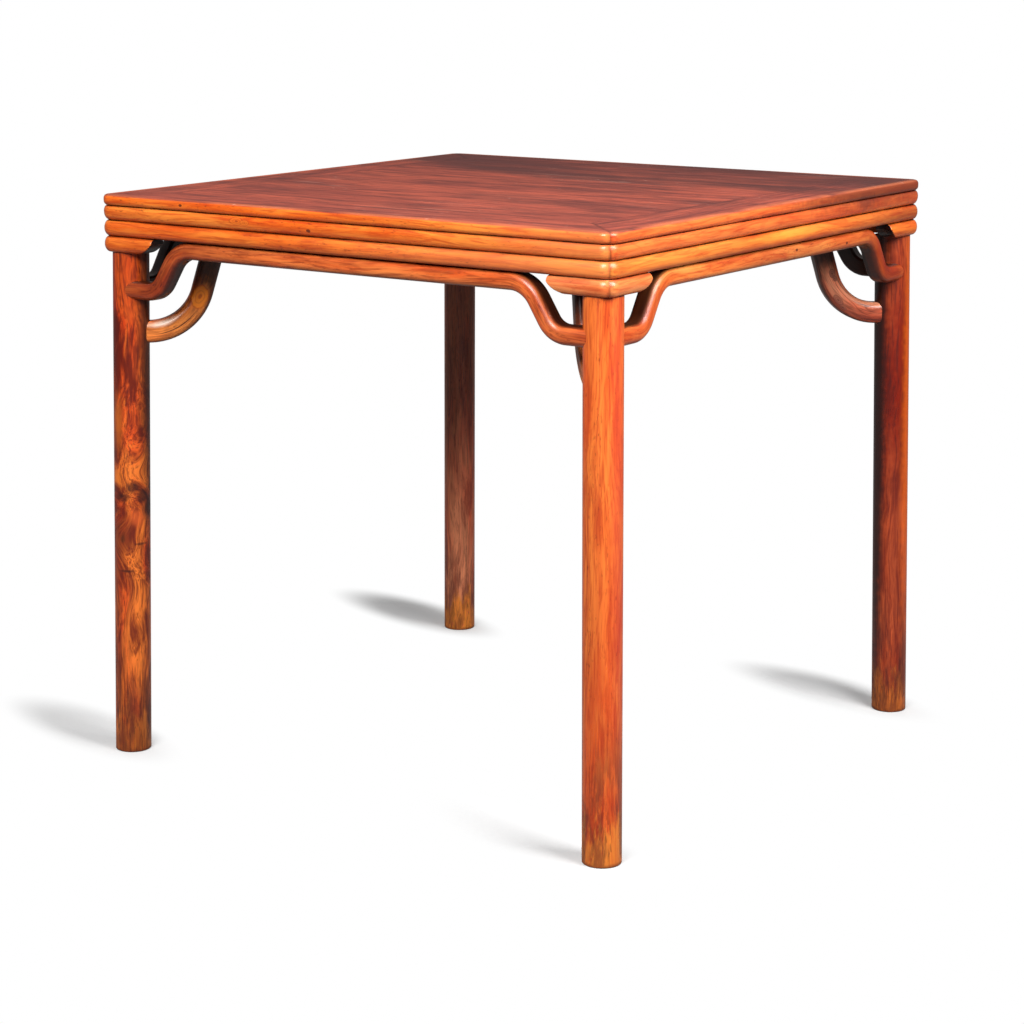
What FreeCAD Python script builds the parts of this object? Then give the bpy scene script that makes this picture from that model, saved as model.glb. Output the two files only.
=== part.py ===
import FreeCAD, Part
import math
import os

# A square dining table: a mitred frame with a floating board panel on four round splayed legs.
# Two beads are worked on the frame's edge. A third bead is a strip stacked under the frame.
# A fourth bead is a short mitred cap that wraps each leg's head. Hump-backed stretchers join the
# legs just below, and a curved brace rises from each leg to a batten under the panel.
# Millimetres, +Z up, origin on the floor under the middle of the top.

# Overall size
top_length = 910.0
top_depth = 910.0
table_height = 864.0

# Top frame and the beads on its edge
rail_width = 88.0
bead_1_height = 16.0
bead_2_height = 22.0
top_round = 5.0
groove_round = 4.0
bead_round = 8.0
corner_extra = 13.0
frame_tenon_thick = 12.0
frame_tenon_low = 13.0
frame_tenon_near = 24.0
frame_tenon_width = 40.0
frame_tenon_stop = 14.0

# Floating panel of three boards
panel_thick = 16.0
panel_tongue_thick = 8.0
panel_tongue_length = 10.0
board_tongue_thick = 5.0
board_tongue_length = 6.0
board_tongue_low = 6.5

# Battens in sliding dovetails under the panel
batten_width = 40.0
batten_height = 22.0
batten_neck = 26.0
dovetail_height = 5.0
dovetail_flare = 3.0
batten_tenon_width = 24.0
batten_tenon_thick = 12.0
batten_tenon_length = 16.0

# Stacked edge strip and corner caps
strip_height = 24.0
strip_depth = 28.0
cap_height = 24.0
cap_depth = 28.0
cap_reach = 104.0
cap_end_straight = 8.0
cap_end_run = 32.0
cap_end_bulge = 4.0

# Legs
leg_diameter = 55.0
leg_inset = 33.5
leg_splay = 12.0
foot_bevel_width = 2.0
foot_bevel_height = 2.5
neck_width = 36.0
leg_tenon_width = 12.0
leg_tenon_shift = 10.0
long_tenon_height = 24.0
short_tenon_height = 11.0

# Hump-backed stretchers
stretcher_size = 27.0
stretcher_round = 8.5
stretcher_bevel = 4.0
stretcher_out_reach = 12.5
hump_rise = 67.0
hump_shoulder = 110.0
hump_angle = 58.0
hump_upper_radius = 50.0
hump_lower_radius = 36.0
stretcher_tenon_width = 10.0
stretcher_tenon_height = 14.0
stretcher_tenon_stop = 3.0

# Braces with hooked tenons
brace_size = 33.0
brace_round = 10.0
brace_drop = 171.0
brace_elbow = 88.0
brace_angle = 74.0
brace_top_angle = 15.0
brace_lower_radius = 82.0
brace_upper_radius = 60.0
brace_reach = 244.0
brace_tip = 22.0
hook_width = 14.0
hook_stop = 5.0
hook_throat = 14.0
hook_rise = 6.0
hook_slope = 10.0
wedge_height = 12.0

# Loose tenons between stacked pieces, and the pegs that hold the braces' tips
key_width = 24.0
key_thick = 7.0
key_bury = 12.0
key_from_face = 14.0
strip_key_reach = 180.0
stretcher_key_reach = 120.0
cap_key_from_corner = 76.0
peg_diameter = 8.0
peg_bury = 12.0

# Clearances
fit_gap = 0.2
cope_gap = 0.3
end_gap = 1.0
panel_gap = 0.5

# Levels and places that follow from the sizes above
z_frame = table_height - bead_1_height - bead_2_height
z_groove = table_height - bead_1_height
z_strip = z_frame - strip_height
z_cap = z_strip - cap_height
z_panel = table_height - panel_thick
z_batten = z_panel - batten_height
z_frame_tenon = z_frame + frame_tenon_low
z_stretcher = z_strip - stretcher_size / 2
z_stretcher_end = z_stretcher - hump_rise
z_brace = z_batten - brace_drop
half_x = top_length / 2
half_y = top_depth / 2
leg_x = half_x - leg_inset
leg_y = half_y - leg_inset
leg_radius = leg_diameter / 2
open_x = half_x - rail_width
open_y = half_y - rail_width
brace_side_step = brace_reach / math.sqrt(2)
batten_x = leg_x - brace_side_step

V = FreeCAD.Vector
ORIGIN = V(0, 0, 0)
X = V(1, 0, 0)
Y = V(0, 1, 0)
Z = V(0, 0, 1)

# Each side: the turn that brings the front side there, its length and its distance from the middle
SIDES = {
    "front": (0.0, top_length, half_y),
    "right": (90.0, top_depth, half_x),
    "back": (180.0, top_length, half_y),
    "left": (270.0, top_depth, half_x),
}

# Each corner: the signs of its X and Y
CORNERS = {
    "front_left": (-1, -1),
    "front_right": (1, -1),
    "back_right": (1, 1),
    "back_left": (-1, 1),
}

# The corners that a side's drawing meets at its -X and +X ends
SIDE_ENDS = {
    "front": ("left", "right"),
    "right": ("front", "back"),
    "back": ("right", "left"),
    "left": ("back", "front"),
}


def box(x0, x1, y0, y1, z0, z1):
    """Block between two corners, given in either order."""
    low = V(min(x0, x1), min(y0, y1), min(z0, z1))
    return Part.makeBox(abs(x1 - x0), abs(y1 - y0), abs(z1 - z0), low)


def prism(points, direction):
    """Solid swept straight from the flat polygon through the points."""
    outline = Part.makePolygon(points + points[:1])
    return Part.Face(outline).extrude(direction)


def turn_to_side(shape, side):
    """Turn a shape drawn on the front side to another side."""
    turned = shape.copy()
    turned.rotate(ORIGIN, Z, SIDES[side][0])
    return turned


def corner_box(corner, x_near, x_far, y_near, y_far, z0, z1):
    """Block at a corner, placed by its distances in from the end face and from the long face."""
    sx, sy = CORNERS[corner]
    return box(
        sx * (half_x - x_near), sx * (half_x - x_far),
        sy * (half_y - y_near), sy * (half_y - y_far), z0, z1)


def rounded_rectangle(centre, across, up, width, height, radius):
    """Closed wire of a rectangle with round corners."""
    ways = [across, up, across * -1, up * -1]
    reaches = [width / 2 - radius, height / 2 - radius] * 2
    starts = []
    middles = []
    ends = []
    for first in range(4):
        second = (first + 1) % 4
        hub = centre + ways[first] * reaches[first] + ways[second] * reaches[second]
        starts.append(hub + ways[first] * radius)
        middles.append(hub + (ways[first] + ways[second]) * (radius / math.sqrt(2)))
        ends.append(hub + ways[second] * radius)
    edges = []
    for first in range(4):
        edges.append(Part.Arc(starts[first], middles[first], ends[first]).toShape())
        edges.append(Part.LineSegment(ends[first], starts[(first + 1) % 4]).toShape())
    return Part.Wire(edges)


def rounded_path(points, radii):
    """Wire along the points, with a tangent arc of each radius at the inner points."""
    edges = []
    here = points[0]
    for before, corner, after, radius in zip(points, points[1:], points[2:], radii):
        way_in = (corner - before).normalize()
        way_out = (after - corner).normalize()
        turn = way_in.getAngle(way_out)
        setback = radius * math.tan(turn / 2)
        start = corner - way_in * setback
        end = corner + way_out * setback
        inward = (way_out - way_in).normalize()
        middle = corner + inward * (radius / math.cos(turn / 2) - radius)
        edges.append(Part.LineSegment(here, start).toShape())
        edges.append(Part.Arc(start, middle, end).toShape())
        here = end
    edges.append(Part.LineSegment(here, points[-1]).toShape())
    return Part.Wire(edges)


def bead_slab(z_bottom, height, round_over, round_under):
    """Slab of the table's outline with its upper and lower outer edges rounded."""
    corner_radius = bead_round + corner_extra
    outline = rounded_rectangle(V(0, 0, z_bottom), X, Y, top_length, top_depth, corner_radius)
    slab = Part.Face(outline).extrude(Z * height)
    for level, radius in ((z_bottom + height, round_over), (z_bottom, round_under)):
        rim = [edge for edge in slab.Edges if lies_at(edge, level)]
        slab = slab.makeFillet(radius, rim)
    return slab


def lies_at(edge, level):
    """Whether an edge lies flat at a level."""
    bounds = edge.BoundBox
    return abs(bounds.ZMin - level) < 1e-6 and abs(bounds.ZMax - level) < 1e-6


def mitred_bar(side, width, z_bottom, height):
    """Bar along a side's outer face with its ends cut on the corner diagonals."""
    turn, length, out = SIDES[side]
    end = length / 2
    points = [
        V(-end, -out, z_bottom),
        V(end, -out, z_bottom),
        V(end - width, width - out, z_bottom),
        V(width - end, width - out, z_bottom),
    ]
    return turn_to_side(prism(points, Z * height), side)


def neck_hole(corner):
    """Square hole that a leg's neck passes up through."""
    near = leg_inset - neck_width / 2 - fit_gap
    far = leg_inset + neck_width / 2 + fit_gap
    return corner_box(corner, near, far, near, far, z_cap, z_frame)


def leg_tenon(corner, into_long_rail, gap):
    """One of the two tenons on a leg's head, or its mortise when a gap is given."""
    side_reach = leg_tenon_width / 2 + gap
    near = leg_inset - leg_tenon_shift
    far = leg_inset + leg_tenon_shift
    x_mid, y_mid = (far, near) if into_long_rail else (near, far)
    height = long_tenon_height if into_long_rail else short_tenon_height
    end_room = end_gap if gap else 0.0
    return corner_box(
        corner, x_mid - side_reach, x_mid + side_reach, y_mid - side_reach, y_mid + side_reach,
        z_frame, z_frame + height + end_room)


def frame_slab():
    """Whole top frame and its opening before it is parted into four rails."""
    upper = bead_slab(z_groove, bead_1_height, top_round, groove_round)
    lower = bead_slab(z_frame, bead_2_height, groove_round, bead_round)
    opening = box(-open_x, open_x, -open_y, open_y, z_frame, table_height)
    reach = panel_tongue_length + end_gap
    panel_groove = box(
        -open_x - reach, open_x + reach, -open_y - reach, open_y + reach,
        z_panel, z_panel + panel_tongue_thick + fit_gap)
    return upper.fuse(lower).cut([opening, panel_groove]).removeSplitter()


def frame_tenon(corner):
    """Tenon on a long rail's mitred end that enters the end rail."""
    sx, sy = CORNERS[corner]
    far = frame_tenon_near + frame_tenon_width
    plan = [
        (frame_tenon_stop, frame_tenon_near),
        (frame_tenon_near, frame_tenon_near),
        (far, far),
        (frame_tenon_stop, far),
    ]
    points = [V(sx * (half_x - x), sy * (half_y - y), z_frame_tenon) for x, y in plan]
    return prism(points, Z * frame_tenon_thick)


def frame_mortise(corner):
    """Mortise in an end rail for a long rail's tenon."""
    near = frame_tenon_near - fit_gap
    far = frame_tenon_near + frame_tenon_width + fit_gap
    return corner_box(
        corner, frame_tenon_stop - end_gap, far, near, far,
        z_frame_tenon - fit_gap, z_frame_tenon + frame_tenon_thick + fit_gap)


def long_rail(side, slab):
    """Rail along X with a tenon on each mitred end and mortises for battens, legs and loose tenons."""
    rail = slab.common(mitred_bar(side, rail_width, z_frame, bead_1_height + bead_2_height))
    corners = [name for name in CORNERS if name.startswith(side)]
    rail = rail.fuse([frame_tenon(corner) for corner in corners])
    cuts = [leg_tenon(corner, True, fit_gap) for corner in corners]
    cuts += [batten_tenons(place, fit_gap) for place in BATTENS.values()]
    cuts += strip_keys(side, fit_gap)
    return rail.cut(cuts)


def end_rail(side, slab):
    """Rail along Y with a mortised mitre at each end and mortises for legs and loose tenons."""
    rail = slab.common(mitred_bar(side, rail_width, z_frame, bead_1_height + bead_2_height))
    corners = [name for name in CORNERS if name.endswith(side)]
    cuts = [frame_mortise(corner) for corner in corners]
    cuts += [leg_tenon(corner, False, fit_gap) for corner in corners]
    cuts += strip_keys(side, fit_gap)
    return rail.cut(cuts)


BOARDS = ("front", "middle", "back")
BATTENS = {"left": -batten_x, "middle": 0.0, "right": batten_x}


def panel_board(index):
    """One board of the panel, tongued into the frame and to the next board."""
    width = 2 * open_y / len(BOARDS)
    y_low = index * width - open_y
    y_high = y_low + width
    is_first = index == 0
    is_last = index == len(BOARDS) - 1
    z_shoulder = z_panel + panel_tongue_thick
    body_x = open_x - panel_gap
    upper = box(
        -body_x, body_x, y_low + panel_gap * is_first, y_high - panel_gap * is_last,
        z_shoulder, table_height)
    lower = box(
        -open_x - panel_tongue_length, open_x + panel_tongue_length,
        y_low - panel_tongue_length * is_first, y_high + panel_tongue_length * is_last,
        z_panel, z_shoulder)
    board = upper.fuse(lower)
    if not is_last:
        board = board.fuse(board_tongue(y_high, body_x, 0.0))
    cuts = [dovetail(place, fit_gap) for place in BATTENS.values()]
    if not is_first:
        cuts.append(board_tongue(y_low, top_length, fit_gap))
    return board.cut(cuts).removeSplitter()


def board_tongue(y, x_reach, gap):
    """Tongue along a board's edge, or its groove when a gap is given."""
    z_low = z_panel + board_tongue_low
    return box(
        -x_reach, x_reach, y, y + board_tongue_length + gap,
        z_low - gap, z_low + board_tongue_thick + gap)


def dovetail(x, gap):
    """Dovetailed ridge of a batten, or the groove for it when a gap is given."""
    neck = batten_neck / 2 + gap
    crest = neck + dovetail_flare
    height = dovetail_height + gap
    reach = open_y + panel_tongue_length * (1 + bool(gap))
    points = [
        V(x - neck, -reach, z_panel),
        V(x + neck, -reach, z_panel),
        V(x + crest, -reach, z_panel + height),
        V(x - crest, -reach, z_panel + height),
    ]
    return prism(points, Y * (2 * reach))


def batten_tenons(x, gap):
    """Stub tenons on a batten's two ends in one bar, or their mortises when a gap is given."""
    z_middle = (z_frame + z_panel) / 2
    side_reach = batten_tenon_width / 2 + gap
    rise = batten_tenon_thick / 2 + gap
    end_room = end_gap if gap else 0.0
    reach = open_y + batten_tenon_length + end_room
    return box(x - side_reach, x + side_reach, -reach, reach, z_middle - rise, z_middle + rise)


def batten(name):
    """Cross batten: a bar with a dovetailed ridge, tenoned into both long rails."""
    x = BATTENS[name]
    bar = box(x - batten_width / 2, x + batten_width / 2, -open_y, open_y, z_batten, z_panel)
    solid = bar.fuse([dovetail(x, 0.0), batten_tenons(x, 0.0)])
    holes = [brace_peg(corner, fit_gap) for corner in CORNERS]
    return solid.cut(holes).removeSplitter()


def edge_strip(side):
    """Strip stacked under a rail, notched round the necks of the two legs."""
    slab = bead_slab(z_strip, strip_height, bead_round, bead_round)
    strip = slab.common(mitred_bar(side, strip_depth, z_strip, strip_height))
    cuts = [neck_hole(corner) for corner in CORNERS]
    cuts += strip_keys(side, fit_gap)
    cuts += stretcher_keys(side, fit_gap)
    cuts += [cap_key(side, end, fit_gap) for end in (-1, 1)]
    return strip.cut(cuts)


def corner_cap(side, end):
    """Half of a corner cap: a mitred bead with a curved end, notched round the leg's neck."""
    turn, length, out = SIDES[side]
    corner_u = length / 2
    slab = bead_slab(z_cap, cap_height, bead_round, bead_round)
    arm = slab.common(mitred_bar(side, cap_depth, z_cap, cap_height))
    profile = [
        V(corner_u, -out, z_strip),
        V(corner_u - cap_reach, -out, z_strip),
        V(corner_u - cap_reach, -out, z_strip - cap_end_straight),
        V(corner_u - cap_reach + cap_end_run, -out, z_cap),
        V(corner_u, -out, z_cap),
    ]
    chord = profile[3] - profile[2]
    outward = V(chord.z, 0, -chord.x).normalize()
    bulge = (profile[2] + profile[3]) * 0.5 + outward * cap_end_bulge
    edges = Part.makePolygon(profile[:3]).Edges
    edges.append(Part.Arc(profile[2], bulge, profile[3]).toShape())
    edges += Part.makePolygon(profile[3:] + profile[:1]).Edges
    outline = Part.Face(Part.Wire(edges)).extrude(Y * cap_depth)
    if end < 0:
        outline = outline.mirror(ORIGIN, X)
    cap = arm.common(turn_to_side(outline, side))
    cuts = [neck_hole(corner) for corner in CORNERS]
    cuts.append(cap_key(side, end, fit_gap))
    return cap.cut(cuts)


def loose_tenon(side, u, from_face, z_joint, gap):
    """Loose tenon across the level joint between two pieces, or its mortises when a gap is given."""
    v = from_face - SIDES[side][2]
    along = key_width / 2 + gap
    across = key_thick / 2 + gap
    reach = key_bury + (end_gap if gap else 0.0)
    key = box(u - along, u + along, v - across, v + across, z_joint - reach, z_joint + reach)
    return turn_to_side(key, side)


def strip_keys(side, gap):
    """Loose tenons between a rail and its edge strip, or their mortises."""
    places = (-strip_key_reach, strip_key_reach)
    return [loose_tenon(side, u, key_from_face, z_frame, gap) for u in places]


def stretcher_keys(side, gap):
    """Loose tenons between an edge strip and the raised middle of its stretcher, or their mortises."""
    places = (-stretcher_key_reach, stretcher_key_reach)
    from_face = leg_inset - stretcher_out_reach
    return [loose_tenon(side, u, from_face, z_strip, gap) for u in places]


def cap_key(side, end, gap):
    """Loose tenon between an edge strip and one half of a corner cap, or its mortises."""
    u = end * (SIDES[side][1] / 2 - cap_key_from_corner)
    return loose_tenon(side, u, key_from_face, z_strip, gap)


def leg_cylinder(corner, radius):
    """Round bar along a leg's splayed axis, running on past both its ends."""
    sx, sy = CORNERS[corner]
    foot = V(sx * (leg_x + leg_splay), sy * (leg_y + leg_splay), 0)
    head = V(sx * leg_x, sy * leg_y, z_cap)
    run = head - foot
    way = V(run).normalize()
    return Part.makeCylinder(radius, run.Length + 2 * radius, foot - way * radius, way)


def foot_bevel(corner):
    """Ring that eases the arris round a leg's foot when it is cut away."""
    sx, sy = CORNERS[corner]
    foot = V(sx * (leg_x + leg_splay), sy * (leg_y + leg_splay), 0)
    inner = leg_radius - foot_bevel_width
    height = 2 * foot_bevel_height
    outer = inner + 2 * foot_bevel_width
    return Part.makeCylinder(leg_diameter, height, foot).cut(Part.makeCone(inner, outer, height, foot))


def leg(corner):
    """Round splayed leg with a square neck, two tenons on its head and mortises below."""
    everything = box(-top_length, top_length, -top_depth, top_depth, 0, z_cap)
    shaft = leg_cylinder(corner, leg_radius).common(everything)
    shaft = shaft.cut(foot_bevel(corner))
    near = leg_inset - neck_width / 2
    far = leg_inset + neck_width / 2
    neck = corner_box(corner, near, far, near, far, z_cap, z_frame)
    head = [leg_tenon(corner, True, 0.0), leg_tenon(corner, False, 0.0)]
    mortises = [stretcher_tenons(side, fit_gap) for side in SIDES]
    mortises.append(hook_mortise(corner))
    return shaft.fuse([neck] + head).cut(mortises)


def stretcher_tenons(side, gap):
    """Tenons at both ends of a stretcher in one bar, or their mortises when a gap is given."""
    turn, length, out = SIDES[side]
    end_room = end_gap if gap else 0.0
    reach = length / 2 - leg_inset - stretcher_tenon_stop + end_room
    root = length / 2 - leg_inset - leg_diameter
    middle = leg_inset - stretcher_out_reach - out
    side_reach = stretcher_tenon_width / 2 + gap
    rise = stretcher_tenon_height / 2 + gap
    ends = [
        box(
            end * root, end * reach, middle - side_reach, middle + side_reach,
            z_stretcher_end - rise, z_stretcher_end + rise)
        for end in (-1, 1)
    ]
    return turn_to_side(Part.makeCompound(ends), side)


def stretcher_section(centre):
    """Section of a stretcher: round arrises on its outer face, bevelled ones on its inner face."""
    half = stretcher_size / 2
    flat = half - stretcher_round
    inner = half - stretcher_bevel
    crown = flat + stretcher_round / math.sqrt(2)
    outline = [(-half, -flat), (-half, flat), (-flat, half), (inner, half), (half, inner),
               (half, -inner), (inner, -half), (-flat, -half), (-half, -flat)]
    points = [centre + Y * y + Z * z for y, z in outline]
    upper = Part.Arc(points[1], centre + Y * -crown + Z * crown, points[2]).toShape()
    lower = Part.Arc(points[7], centre + Y * -crown + Z * -crown, points[8]).toShape()
    edges = Part.makePolygon(points[:2]).Edges + [upper]
    edges += Part.makePolygon(points[2:8]).Edges + [lower]
    return Part.Wire(edges)


def stretcher(side):
    """Hump-backed stretcher: its low ends are scribed to the legs and tenoned into them."""
    turn, length, out = SIDES[side]
    y = leg_inset - stretcher_out_reach - out
    end_u = length / 2 - leg_inset
    high_u = end_u - hump_shoulder
    low_u = high_u + hump_rise / math.tan(math.radians(hump_angle))
    points = [
        V(-end_u, y, z_stretcher_end),
        V(-low_u, y, z_stretcher_end),
        V(-high_u, y, z_stretcher),
        V(high_u, y, z_stretcher),
        V(low_u, y, z_stretcher_end),
        V(end_u, y, z_stretcher_end),
    ]
    radii = [hump_lower_radius, hump_upper_radius, hump_upper_radius, hump_lower_radius]
    bar = rounded_path(points, radii).makePipeShell([stretcher_section(points[0])], True, False)
    bar = turn_to_side(bar, side)
    legs = [leg_cylinder(corner, leg_radius + cope_gap) for corner in CORNERS]
    bar = bar.cut(legs).fuse(stretcher_tenons(side, 0.0).Solids)
    return bar.cut(stretcher_keys(side, fit_gap))


def place_at_leg(shape, corner):
    """Bring a shape drawn with +X running inward from a leg's axis to its own leg."""
    sx, sy = CORNERS[corner]
    placed = shape.copy()
    placed.rotate(ORIGIN, Z, math.degrees(math.atan2(-sy, -sx)))
    placed.translate(V(sx * leg_x, sy * leg_y, 0))
    return placed


def brace_path():
    """Centre line of a brace: level out of the leg, steeply up, then flatter under the batten."""
    steep = math.radians(brace_angle)
    flat = math.radians(brace_top_angle)
    run = brace_reach - brace_elbow
    climb = (brace_drop - run * math.tan(flat)) / (math.sin(steep) - math.cos(steep) * math.tan(flat))
    shoulder = V(brace_elbow + climb * math.cos(steep), 0, z_brace + climb * math.sin(steep))
    tip = V(brace_reach + brace_tip, 0, z_batten + brace_tip * math.tan(flat))
    points = [V(0, 0, z_brace), V(brace_elbow, 0, z_brace), shoulder, tip]
    return rounded_path(points, [brace_lower_radius, brace_upper_radius])


def hook(gap, depth_below):
    """Hooked tenon on a brace's foot, or its mortise with room below for the wedge."""
    z_low = z_brace - hook_throat + hook_throat / 2 - depth_below - gap
    z_throat = z_brace + hook_throat / 2 + gap
    z_hook = z_throat + hook_rise
    inner = hook_stop - (end_gap if gap else 0.0)
    outer = leg_diameter
    bend = leg_radius - gap
    half = hook_width / 2 + gap
    points = [
        V(inner, -half, z_low),
        V(outer, -half, z_low),
        V(outer, -half, z_throat),
        V(bend, -half, z_throat),
        V(bend - hook_slope, -half, z_hook),
        V(inner, -half, z_hook),
    ]
    return prism(points, Y * (2 * half))


def hook_mortise(corner):
    """Mortise in a leg for a brace's hooked tenon and the wedge under it."""
    return place_at_leg(hook(fit_gap, wedge_height), corner)


def brace(corner):
    """Curved brace: hooked into the leg, scribed to it, and cut level under the batten."""
    section = rounded_rectangle(V(0, 0, z_brace), Y, Z, brace_size, brace_size, brace_round)
    bar = brace_path().makePipeShell([section], True, False)
    above = box(0, brace_reach + brace_size, -brace_size, brace_size, z_batten, table_height)
    tenon_limit = box(0, brace_elbow, -brace_size, brace_size, z_cap, 0)
    tenon = hook(0.0, 0.0).common(tenon_limit)
    bar = place_at_leg(bar.cut(above), corner)
    bar = bar.cut(leg_cylinder(corner, leg_radius + cope_gap))
    return bar.fuse(place_at_leg(tenon, corner)).cut(brace_peg(corner, fit_gap))


def brace_wedge(corner):
    """Wedge driven under a brace's hooked tenon, its outer end flush with the leg."""
    half = hook_width / 2
    z_high = z_brace - hook_throat / 2
    block = box(hook_stop, leg_diameter, -half, half, z_high - wedge_height, z_high)
    return place_at_leg(block, corner).common(leg_cylinder(corner, leg_radius))


def brace_peg(corner, gap):
    """Peg from a brace's tip up into the batten, or its hole when a gap is given."""
    end_room = end_gap if gap else 0.0
    depth = brace_size / 2 - end_gap + brace_size * bool(gap)
    foot = V(brace_reach, 0, z_batten - depth)
    peg = Part.makeCylinder(peg_diameter / 2 + gap, depth + peg_bury + end_room, foot)
    return place_at_leg(peg, corner)


def build_parts():
    """Every piece of the table by its name."""
    slab = frame_slab()
    parts = {}
    for side in ("front", "back"):
        parts[side + "_long_rail"] = long_rail(side, slab)
    for side in ("left", "right"):
        parts[side + "_end_rail"] = end_rail(side, slab)
    for index, name in enumerate(BOARDS):
        parts["panel_board_" + name] = panel_board(index)
    for name in BATTENS:
        parts["batten_" + name] = batten(name)
    for side in SIDES:
        parts["edge_strip_" + side] = edge_strip(side)
        parts["stretcher_" + side] = stretcher(side)
        for end, end_name in zip((-1, 1), SIDE_ENDS[side]):
            parts["corner_cap_" + side + "_" + end_name] = corner_cap(side, end)
    for corner in CORNERS:
        parts["leg_" + corner] = leg(corner)
        parts["brace_" + corner] = brace(corner)
    strip_key_list = [key for side in SIDES for key in strip_keys(side, 0.0)]
    stretcher_key_list = [key for side in SIDES for key in stretcher_keys(side, 0.0)]
    cap_key_list = [cap_key(side, end, 0.0) for side in SIDES for end in (-1, 1)]
    parts["strip_keys"] = Part.makeCompound(strip_key_list)
    parts["stretcher_keys"] = Part.makeCompound(stretcher_key_list)
    parts["cap_keys"] = Part.makeCompound(cap_key_list)
    parts["brace_pegs"] = Part.makeCompound([brace_peg(corner, 0.0) for corner in CORNERS])
    parts["brace_wedges"] = Part.makeCompound([brace_wedge(corner) for corner in CORNERS])
    return parts


def main():
    """Write one STEP file for each piece."""
    os.makedirs("parts", exist_ok=True)
    for name, shape in build_parts().items():
        print(name, "solids", len(shape.Solids), "valid", shape.isValid(), "volume", round(shape.Volume))
        shape.exportStep("parts/" + name + ".step")


main()
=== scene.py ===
"""A square rosewood dining table: beaded top, round splayed legs, hump-backed stretchers, curved braces."""
import logging
import math
from collections.abc import Iterable
from dataclasses import dataclass
from enum import Enum

import bmesh
import bpy
from mathutils import Euler, Matrix, Vector


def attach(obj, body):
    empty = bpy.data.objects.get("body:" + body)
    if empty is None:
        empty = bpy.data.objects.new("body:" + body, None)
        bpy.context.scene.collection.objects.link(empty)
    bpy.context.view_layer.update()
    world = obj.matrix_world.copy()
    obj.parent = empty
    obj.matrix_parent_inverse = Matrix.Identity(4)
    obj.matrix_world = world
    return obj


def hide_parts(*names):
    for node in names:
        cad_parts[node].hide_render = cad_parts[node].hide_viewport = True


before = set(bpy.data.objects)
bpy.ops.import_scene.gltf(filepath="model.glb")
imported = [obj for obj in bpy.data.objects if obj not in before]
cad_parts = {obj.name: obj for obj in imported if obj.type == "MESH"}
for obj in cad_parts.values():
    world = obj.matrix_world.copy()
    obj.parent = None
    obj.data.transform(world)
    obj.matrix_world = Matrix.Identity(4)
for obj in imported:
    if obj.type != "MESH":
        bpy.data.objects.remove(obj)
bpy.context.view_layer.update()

LOG = logging.getLogger("table")
Triple = tuple[float, float, float]
Screen = tuple[int, int, int]
BMesh = bmesh.types.BMesh
Socket = bpy.types.NodeSocket
Tree = bpy.types.NodeTree

# The table's main sizes, in metres
HALF = 0.455
TOP = 0.864
Z_GROOVE = 0.848
Z_FRAME = 0.826
Z_STRIP = 0.802
Z_CAP = 0.778
LEG_AT = 0.4215
LEG_RADIUS = 0.02745
LEG_SPLAY = 0.012
NEAR = 1e-6

# Millimetres to a metre
MM = 1000.0

# Colours as a screen shows them, each part from 0 to 255
WHITE = (255, 255, 255)
PORE = (112, 30, 8)
BARE_WOOD = (250, 146, 54)
MOP_GRIME = (74, 26, 22)
FOOT_CRACK = (66, 22, 10)
# Dark joint lines, and painted shade over the lower part of each bead
JOINT_DUST_AND_SHADE = (52, 12, 4)
# Painted shade, for the panel's underside
UNDERSIDE_SHADE = (34, 17, 14)
# Painted shade, for the stretchers' inner and upper faces
SHADED_INSIDE = (26, 10, 7)
RUBBED_RIM = (206, 108, 66)
SCRATCHED = (222, 176, 156)
UMBER = (46, 13, 8)
HONEY = (255, 134, 44)
KNOT = (96, 34, 12)
SOOT = (60, 20, 12)
# Black, for knot cores and for painted shade under the stretchers' bends
KNOT_BLACK_AND_SHADE = (58, 22, 14)
ASH = (150, 84, 66)
ASH_RIM = (54, 26, 20)


class Named(Enum):
    """A choice that is named in small letters in the nodes."""

    @property
    def label(self) -> str:
        """The name as the nodes spell it."""
        return self.name.lower()


class Grain(Enum):
    """The way a timber's grain runs; a bent bar's follows its run, which is X with a value of its own."""

    ALONG_X = (1.0, 0.0, 0.0)
    ALONG_Y = (0.0, 1.0, 0.0)
    UPRIGHT = (0.0, 0.0, 1.0)
    ALONG_RUN = (1.0, 1e-9, 0.0)

    @property
    def turn(self) -> Euler:
        """The turn that lays the grain along +X."""
        way = Vector(self.value).normalized()
        return way.rotation_difference(Vector((1.0, 0.0, 0.0))).to_euler("XYZ")


class Side(Named):
    """A side of the table and the turn that brings the front side there, in degrees."""

    FRONT = 0
    RIGHT = 90
    BACK = 180
    LEFT = 270

    @property
    def turn(self) -> Matrix:
        """The turn about the table's upright axis."""
        return Matrix.Rotation(math.radians(self.value), 4, "Z")

    @property
    def long(self) -> bool:
        """Whether the side runs along X, as the panel's boards do."""
        return self in (Side.FRONT, Side.BACK)

    @property
    def grain(self) -> Grain:
        """The way the grain of this side's timbers runs."""
        return Grain.ALONG_X if self.long else Grain.ALONG_Y

    @property
    def end_labels(self) -> tuple[str, ...]:
        """The sides met at the low and the high end of this side's drawing."""
        turns = ((self.value + turn) % 360 for turn in (-90, 90))
        return tuple(Side(turn).label for turn in turns)


class Corner(Named):
    """A corner of the table, by the signs of its X and Y."""

    FRONT_LEFT = (-1, -1)
    FRONT_RIGHT = (1, -1)
    BACK_RIGHT = (1, 1)
    BACK_LEFT = (-1, 1)

    @property
    def inward(self) -> Matrix:
        """Brings a drawing with +X running inward from a leg's axis to this corner."""
        x, y = (sign * LEG_AT for sign in self.value)
        return Matrix.Translation((x, y, 0.0)) @ Matrix.Rotation(math.atan2(-y, -x), 4, "Z")


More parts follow.
